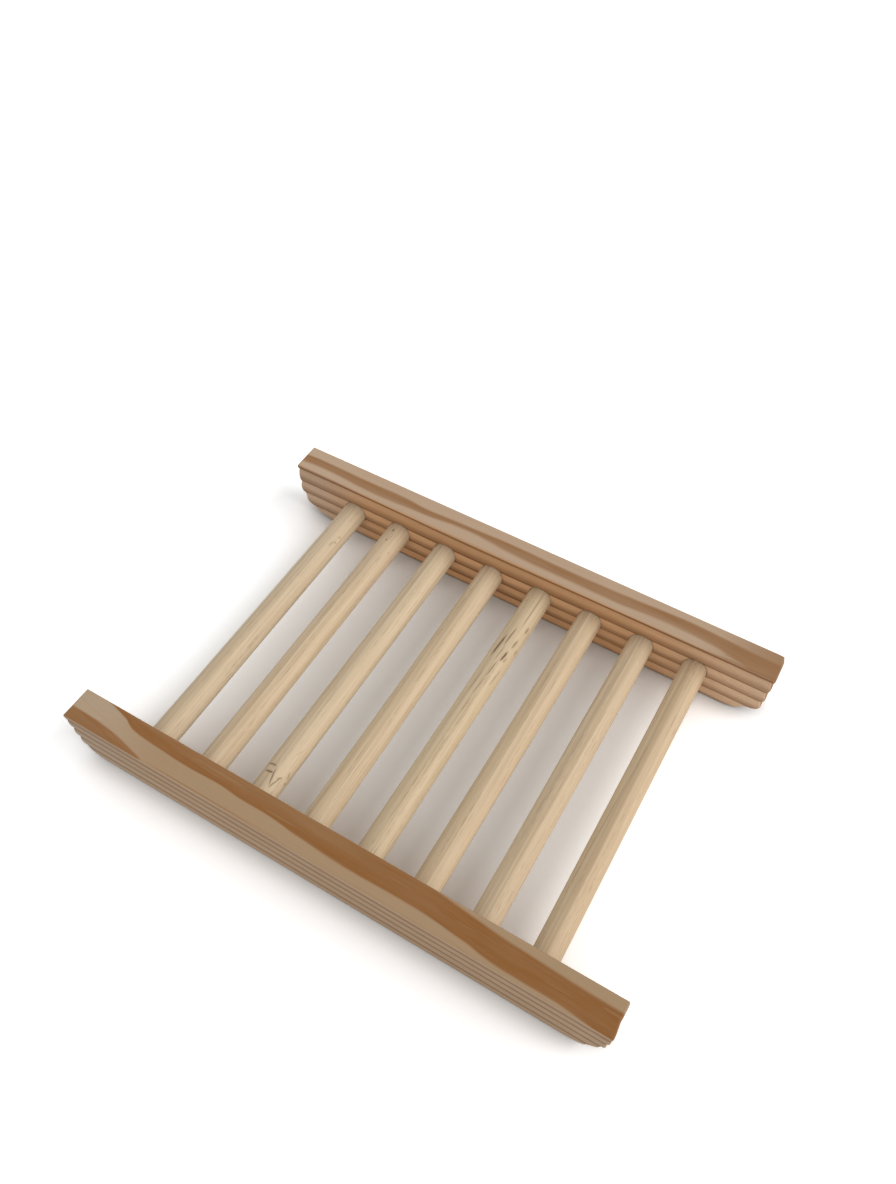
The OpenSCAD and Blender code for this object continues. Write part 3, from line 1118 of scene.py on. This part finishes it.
class SOAPDISH_OT_stage(Operator):
    """Make the camera, the floor and the light"""

    bl_idname = "soapdish.stage"
    bl_label = "Stage"

    FLOOR_HALF = 4.0
    CONTACT_SAMPLES = 12
    # How open a place on the floor is where its painted contact shadow starts to clear, and where it is
    # clear
    OPENNESS = (0.3, 1.0)
    # Painted shadow between the rails and painted warm shade inside the front rail, as shares of the
    # outermost rod's edge and of the place of the inner faces
    DARK_START, DARK_END = (-1.3, -0.25), (0.6, 1.05)
    RAIL_EDGE = (1.05, 1.2)
    WARM_EDGE, WARM_ENDS = (-0.95, -0.45), (0.9, 1.2)

    def execute(self, context):
        settings = context.scene.soap_dish_stage
        context.scene.view_settings.view_transform = "Standard"
        self.make_camera(context)
        self.make_floor(settings)
        self.make_light(settings)
        self.make_world(context, settings)
        return {"FINISHED"}

    def make_camera(self, context):
        data = bpy.data.cameras.new("camera")
        data.sensor_width = SENSOR
        data.lens = PHOTO_FOCAL * SENSOR / PHOTO_HEIGHT
        data.shift_x = (PHOTO_WIDTH / 2 - PHOTO_CENTRE[0]) / PHOTO_HEIGHT
        data.shift_y = (PHOTO_CENTRE[1] - PHOTO_HEIGHT / 2) / PHOTO_HEIGHT
        data.clip_start = 1 * MM
        camera = new_object("camera", data)
        turn = Matrix.Rotation(CAMERA_TURN, 4, "Z")
        dip = Matrix.Rotation(math.pi / 2 - CAMERA_DIP, 4, "X")
        roll = Matrix.Rotation(CAMERA_ROLL, 4, "Z")
        camera.matrix_world = Matrix.Translation(CAMERA_PLACE) @ turn @ dip @ roll
        context.scene.camera = camera

    def make_floor(self, settings):
        half = self.FLOOR_HALF
        corners = [(-half, -half, 0.0), (half, -half, 0.0), (half, half, 0.0), (-half, half, 0.0)]
        mesh = bpy.data.meshes.new("floor")
        mesh.from_pydata(corners, [], [(0, 1, 2, 3)])
        mesh.materials.append(self.floor_finish(settings))
        new_object("floor", mesh)

    def floor_finish(self, settings):
        """A plain floor for the light. The camera sees it white, with painted shadow close to the wood,
        between the rails and inside the front rail.
        """
        material, finish = new_material("floor_white")
        x, y, _ = finish.place()
        beside = x / (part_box(RODS[-1])[1].x / MM)
        away = y / (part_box("rail_back")[0].y / MM)
        between = abs(away).fall(*self.RAIL_EDGE)
        # Painted shadow between the rails, and painted warm shade inside the front rail
        under = beside.rise(*self.DARK_START) * beside.fall(*self.DARK_END) * between
        warm = away.fall(*self.WARM_EDGE) * abs(beside).fall(*self.WARM_ENDS) * between
        # Painted contact shadow: the floor is darker where the wood closes off the sky
        sky = {"Distance": settings.contact_reach}
        openness = finish.node("ShaderNodeAmbientOcclusion", {"samples": self.CONTACT_SAMPLES}, sky, "AO")
        clear = openness.rise(*self.OPENNESS) * (1 - settings.under_share * under)
        tones = (settings.contact_tone, settings.warm_tone)
        contact = finish.blend(warm, *(finish.diffuse(tone) for tone in tones))
        white = finish.diffuse((settings.floor_lift,) * 3)
        both = finish.camera_sees(finish.diffuse(settings.floor_tone), finish.blend(clear, contact, white))
        finish.node("ShaderNodeOutputMaterial", {}, {"Surface": both})
        return material

    def make_light(self, settings):
        data = bpy.data.lights.new("key", "SUN")
        data.energy = settings.key_strength
        data.angle = settings.key_spread
        lamp = new_object("key", data)
        heading, height = settings.key_heading, settings.key_height
        flat = math.cos(height)
        source = Vector((flat * math.cos(heading), flat * math.sin(heading), math.sin(height)))
        lamp.rotation_mode = "QUATERNION"
        lamp.rotation_quaternion = source.to_track_quat("Z", "Y")
        lamp.location = source

    def make_world(self, context, settings):
        world = bpy.data.worlds.new("sky")
        world.use_nodes = True
        context.scene.world = world
        finish = Finish(world.node_tree)
        white = (1.0, 1.0, 1.0, 1.0)
        sky = finish.node("ShaderNodeBackground", {}, {"Color": white, "Strength": settings.sky_strength})
        backdrop = finish.node("ShaderNodeBackground", {}, {"Color": white, "Strength": 1.0})
        finish.node("ShaderNodeOutputWorld", {}, {"Surface": finish.camera_sees(sky, backdrop)})


class SOAPDISH_OT_rails(Operator):
    """Make the two reeded rails with their sockets"""

    bl_idname = "soapdish.rails"
    bl_label = "Rails"

    # Colours of each rail: the side colour carries painted light, and the groove colour painted shade
    SHADES = ("pale", "brown", "side", "grey", "groove")
    CHIP_RADIUS = 1.8 * MM
    FRONT_CHIP_DEPTH, BACK_CHIP_DEPTH = 0.3 * MM, 0.4 * MM

    def execute(self, context):
        sizes = context.scene.soap_dish_rails
        colours = context.scene.soap_dish_wood
        for node, look in zip(RAILS, (FRONT_LOOK, BACK_LOOK)):
            end = "front" if node == RAILS[0] else "back"
            shades = [getattr(colours, f"{end}_{shade}") for shade in self.SHADES]
            form = RailForm(node, sizes, look)
            side = 1 if form.middle_y < 0 else -1
            mesh = form.mesh(node)
            wear_rail(mesh, form, self.chip(form, side))
            mesh = cut_sockets(mesh, form, side)
            soften(mesh)
            material, finish = new_material(node + "_wood")
            RailWood(finish, form, shades, colours.end_pale, look).fill()
            add_piece("reeded_" + node, mesh, material, node)
        return {"FINISHED"}

    def chip(self, form, side):
        """Place, radius and depth of the wear on top of the right end."""
        if side > 0:
            place = Vector((form.high.x, form.middle_y, form.high.z))
            return place, self.CHIP_RADIUS, self.FRONT_CHIP_DEPTH
        return Vector(form.high), self.CHIP_RADIUS, self.BACK_CHIP_DEPTH


class SOAPDISH_OT_rods(Operator):
    """Make the row of bamboo rods"""

    bl_idname = "soapdish.rods"
    bl_label = "Rods"

    def execute(self, context):
        sizes = context.scene.soap_dish_rods
        colours = context.scene.soap_dish_bamboo
        for node in RODS:
            form = RodForm(node, sizes)
            mesh = form.mesh(node)
            soften(mesh)
            material, finish = new_material(node + "_bamboo")
            RodBamboo(finish, form, colours, node).fill()
            add_piece("bamboo_" + node, mesh, material, node)
        return {"FINISHED"}


class SOAPDISH_PT_panel(Panel):
    """Lists the operators that make the dish and its stage"""

    bl_label = "Soap Dish"
    bl_idname = "SOAPDISH_PT_panel"
    bl_space_type = "VIEW_3D"
    bl_region_type = "UI"
    bl_category = "Soap Dish"

    def draw(self, context):
        for operator in OPERATORS:
            self.layout.operator(operator.bl_idname)


OPERATORS = (SOAPDISH_OT_stage, SOAPDISH_OT_rails, SOAPDISH_OT_rods)
GROUPS = {
    "soap_dish_rails": RailSizes,
    "soap_dish_rods": RodSizes,
    "soap_dish_wood": WoodColours,
    "soap_dish_bamboo": BambooColours,
    "soap_dish_stage": StageSettings,
}


def register():
    for group in (*GROUPS.values(), *OPERATORS, SOAPDISH_PT_panel):
        bpy.utils.register_class(group)
    for name, group in GROUPS.items():
        setattr(bpy.types.Scene, name, PointerProperty(type=group))


def unregister():
    for name in GROUPS:
        delattr(bpy.types.Scene, name)
    for group in (SOAPDISH_PT_panel, *reversed(OPERATORS), *GROUPS.values()):
        bpy.utils.unregister_class(group)


def main():
    register()
    bpy.ops.soapdish.stage()
    bpy.ops.soapdish.rails()
    bpy.ops.soapdish.rods()


if __name__ == "__main__":
    main()
